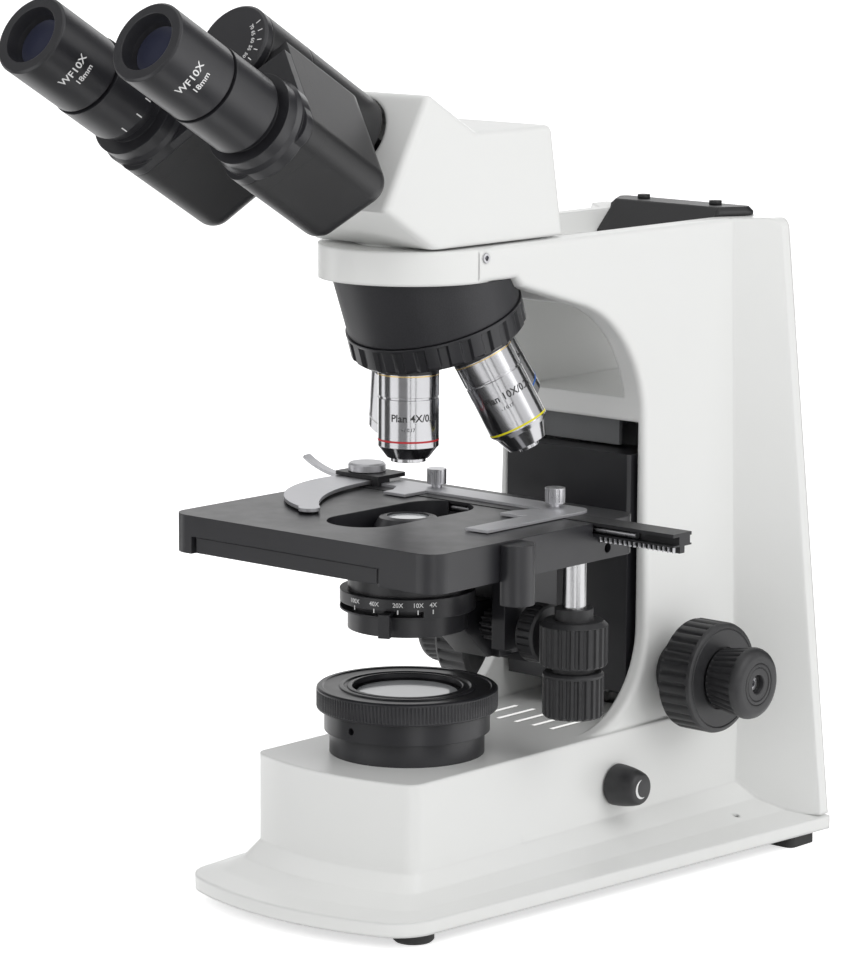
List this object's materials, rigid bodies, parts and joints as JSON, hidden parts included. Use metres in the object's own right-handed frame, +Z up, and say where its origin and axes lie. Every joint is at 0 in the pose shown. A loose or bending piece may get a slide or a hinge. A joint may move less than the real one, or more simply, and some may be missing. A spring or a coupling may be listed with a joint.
{
  "type": "compound microscope",
  "caption": "Laboratory compound microscope with inclined binocular head, tilted revolving nosepiece, mechanical stage, condenser, focus knobs and lit base.",
  "frame": {"origin": "middle of the footprint, at the table", "axes": "+X to the seated user's right, -Y towards the user, +Z up"},
  "size_m": [0.2092, 0.3813, 0.3793],
  "materials": {
    "white_paint": "smooth white enamel",
    "black_metal": "satin black anodised",
    "grey_metal": "satin",
    "steel_plate": "matte black paint",
    "steel": "fine machined",
    "chrome": "polished",
    "aluminium": "brushed",
    "brass": "machined",
    "rubber": "matte",
    "black_plastic": "fine grain",
    "knob_plastic": "ribbed, satin",
    "green_board": "circuit board",
    "lens_glass": "coated"
  },
  "bodies": {
    "stand": {"stand_casting": "white_paint", "base_plate": "steel_plate", "rubber_feet": "rubber", "housing_screws": "steel", "handle_cover": "black_plastic", "head_lock_screw": "steel", "field_lens_housing": "black_metal", "field_lens": "lens_glass", "lamp_module": "aluminium", "circuit_board": "green_board", "power_inlet": "black_plastic", "focus_guide": "grey_metal", "nosepiece_mount": "black_metal", "nosepiece_pivot": "steel"},
    "switch": {"power_switch": "black_plastic"},
    "dimmer": {"dimmer_knob": "black_plastic"},
    "field_diaphragm": {"field_ring": "black_metal"},
    "carriage": {"focus_carriage": "black_metal", "focus_rack": "brass", "carriage_cover": "black_metal", "stage_lower_plate": "black_metal"},
    "coarse": {"coarse_knob_right": "knob_plastic", "coarse_knob_left": "knob_plastic", "coarse_shaft": "steel"},
    "fine": {"fine_knob_right": "knob_plastic", "fine_knob_left": "knob_plastic", "fine_shaft": "steel"},
    "stage": {"stage_plate": "black_metal", "drive_post": "black_metal"},
    "y_drive": {"stage_y_knob": "knob_plastic"},
    "x_drive": {"stage_x_knob": "knob_plastic"},
    "specimen": {"x_rack_bar": "black_metal", "x_guide_rail": "chrome", "slide_holder": "aluminium", "thumb_screws": "chrome"},
    "finger": {"slide_finger": "aluminium"},
    "condenser": {"condenser_carrier": "black_metal", "condenser_body": "black_metal", "condenser_lens": "lens_glass", "condenser_screws": "steel"},
    "condenser_drive": {"condenser_knob": "knob_plastic"},
    "iris": {"iris_lever": "black_metal"},
    "turret": {"nosepiece_turret": "black_metal", "objective_4x": "chrome", "objective_10x": "chrome", "objective_40x": "chrome", "objective_100x": "chrome"},
    "nose_of_40x": {"nose_40x": "chrome"},
    "nose_of_100x": {"nose_100x": "chrome"},
    "head": {"head_housing": "white_paint", "head_pivot": "black_metal"},
    "right_arm": {"prism_box_right": "black_plastic", "eyetube_right": "black_metal", "eyepiece_right": "black_metal", "eye_lens_right": "lens_glass"},
    "left_arm": {"prism_box_left": "black_plastic", "eyetube_left": "black_metal"},
    "dioptre": {"dioptre_ring": "black_plastic", "eyepiece_left": "black_metal", "eye_lens_left": "lens_glass"}
  },
  "joints": [
    {"name": "switch_rock", "type": "hinge", "parent": "stand", "child": "switch", "pos_m": [0.0168, 0.1814, 0.04], "axis": [1, 0, 0], "range_deg": [0, 9]},
    {"name": "dimmer_turn", "type": "hinge", "parent": "stand", "child": "dimmer", "pos_m": [0.0358, 0.0824, 0.039], "axis": [1, 0, 0], "range_deg": [-135, 135]},
    {"name": "field_diaphragm_turn", "type": "hinge", "parent": "stand", "child": "field_diaphragm", "pos_m": [-0.0092, -0.0016, 0.08], "axis": [0, 0, 1], "range_deg": [-60, 30]},
    {"name": "stage_focus", "type": "slide", "parent": "stand", "child": "carriage", "axis": [0, 0, 1], "range_m": [-0.006, 0.0025]},
    {"name": "coarse_turn", "type": "hinge", "parent": "stand", "child": "coarse", "pos_m": [-0.0092, 0.1214, 0.083], "axis": [1, 0, 0], "range_deg": [-57.5, 24]},
    {"name": "fine_turn", "type": "hinge", "parent": "stand", "child": "fine", "pos_m": [-0.0092, 0.1214, 0.083], "axis": [1, 0, 0], "continuous": true},
    {"name": "stage_y", "type": "slide", "parent": "carriage", "child": "stage", "axis": [0, 1, 0], "range_m": [-0.017, 0.017]},
    {"name": "y_drive_turn", "type": "hinge", "parent": "stage", "child": "y_drive", "pos_m": [0.0548, 0.0294, 0.11], "axis": [0, 0, 1], "range_deg": [-163, 163]},
    {"name": "stage_x", "type": "slide", "parent": "stage", "child": "specimen", "axis": [1, 0, 0], "range_m": [-0.03, 0.03]},
    {"name": "x_drive_turn", "type": "hinge", "parent": "stage", "child": "x_drive", "pos_m": [0.0548, 0.0294, 0.09], "axis": [0, 0, 1], "range_deg": [-288, 288]},
    {"name": "finger_swing", "type": "hinge", "parent": "specimen", "child": "finger", "pos_m": [-0.0737, 0.0444, 0.165], "axis": [0, 0, 1], "range_deg": [-25, 0], "stiffness_Nm_per_rad": 0.05},
    {"name": "condenser_focus", "type": "slide", "parent": "carriage", "child": "condenser", "axis": [0, 0, 1], "range_m": [-0.0038, 0]},
    {"name": "condenser_turn", "type": "hinge", "parent": "carriage", "child": "condenser_drive", "pos_m": [0.0288, 0.0344, 0.112], "axis": [1, 0, 0], "range_deg": [-36.5, 0]},
    {"name": "iris_turn", "type": "hinge", "parent": "condenser", "child": "iris", "pos_m": [-0.0092, -0.0016, 0.1248], "axis": [0, 0, 1], "range_deg": [-72, 20]},
    {"name": "turret_turn", "type": "hinge", "parent": "stand", "child": "turret", "pos_m": [-0.0092, -0.0016, 0.2874], "axis": [0, -0.3338, 0.9426], "continuous": true},
    {"name": "nose_40x_spring", "type": "slide", "parent": "turret", "child": "nose_of_40x", "axis": [0, -0.6293, 0.7771], "range_m": [0, 0.0015], "stiffness_N_per_m": 600, "springref_m": -0.001},
    {"name": "nose_100x_spring", "type": "slide", "parent": "turret", "child": "nose_of_100x", "axis": [0.3338, -0.3147, 0.8886], "range_m": [0, 0.0015], "stiffness_N_per_m": 600, "springref_m": -0.001},
    {"name": "head_turn", "type": "hinge", "parent": "stand", "child": "head", "pos_m": [-0.0092, -0.0016, 0.275], "axis": [0, 0, 1], "continuous": true},
    {"name": "right_arm_swing", "type": "hinge", "parent": "head", "child": "right_arm", "pos_m": [-0.0092, -0.0374, 0.32081], "axis": [0, -0.866, 0.5], "range_deg": [-9.4, 12.2]},
    {"name": "left_arm_swing", "type": "hinge", "parent": "head", "child": "left_arm", "pos_m": [-0.0092, -0.0374, 0.32081], "axis": [0, -0.866, 0.5], "range_deg": [-12.2, 9.4]},
    {"name": "dioptre_turn", "type": "hinge", "parent": "left_arm", "child": "dioptre", "pos_m": [-0.0402, -0.05439, 0.29138], "axis": [0, -0.866, 0.5], "continuous": true}
  ],
  "couplings": [
    {"joint": "coarse_turn", "follows": "stage_focus", "rad_per_m": 166.67},
    {"joint": "y_drive_turn", "follows": "stage_y", "rad_per_m": 166.67},
    {"joint": "x_drive_turn", "follows": "stage_x", "rad_per_m": -166.67},
    {"joint": "condenser_turn", "follows": "condenser_focus", "rad_per_m": 166.67},
    {"joint": "left_arm_swing", "follows": "right_arm_swing", "ratio": -1}
  ]
}
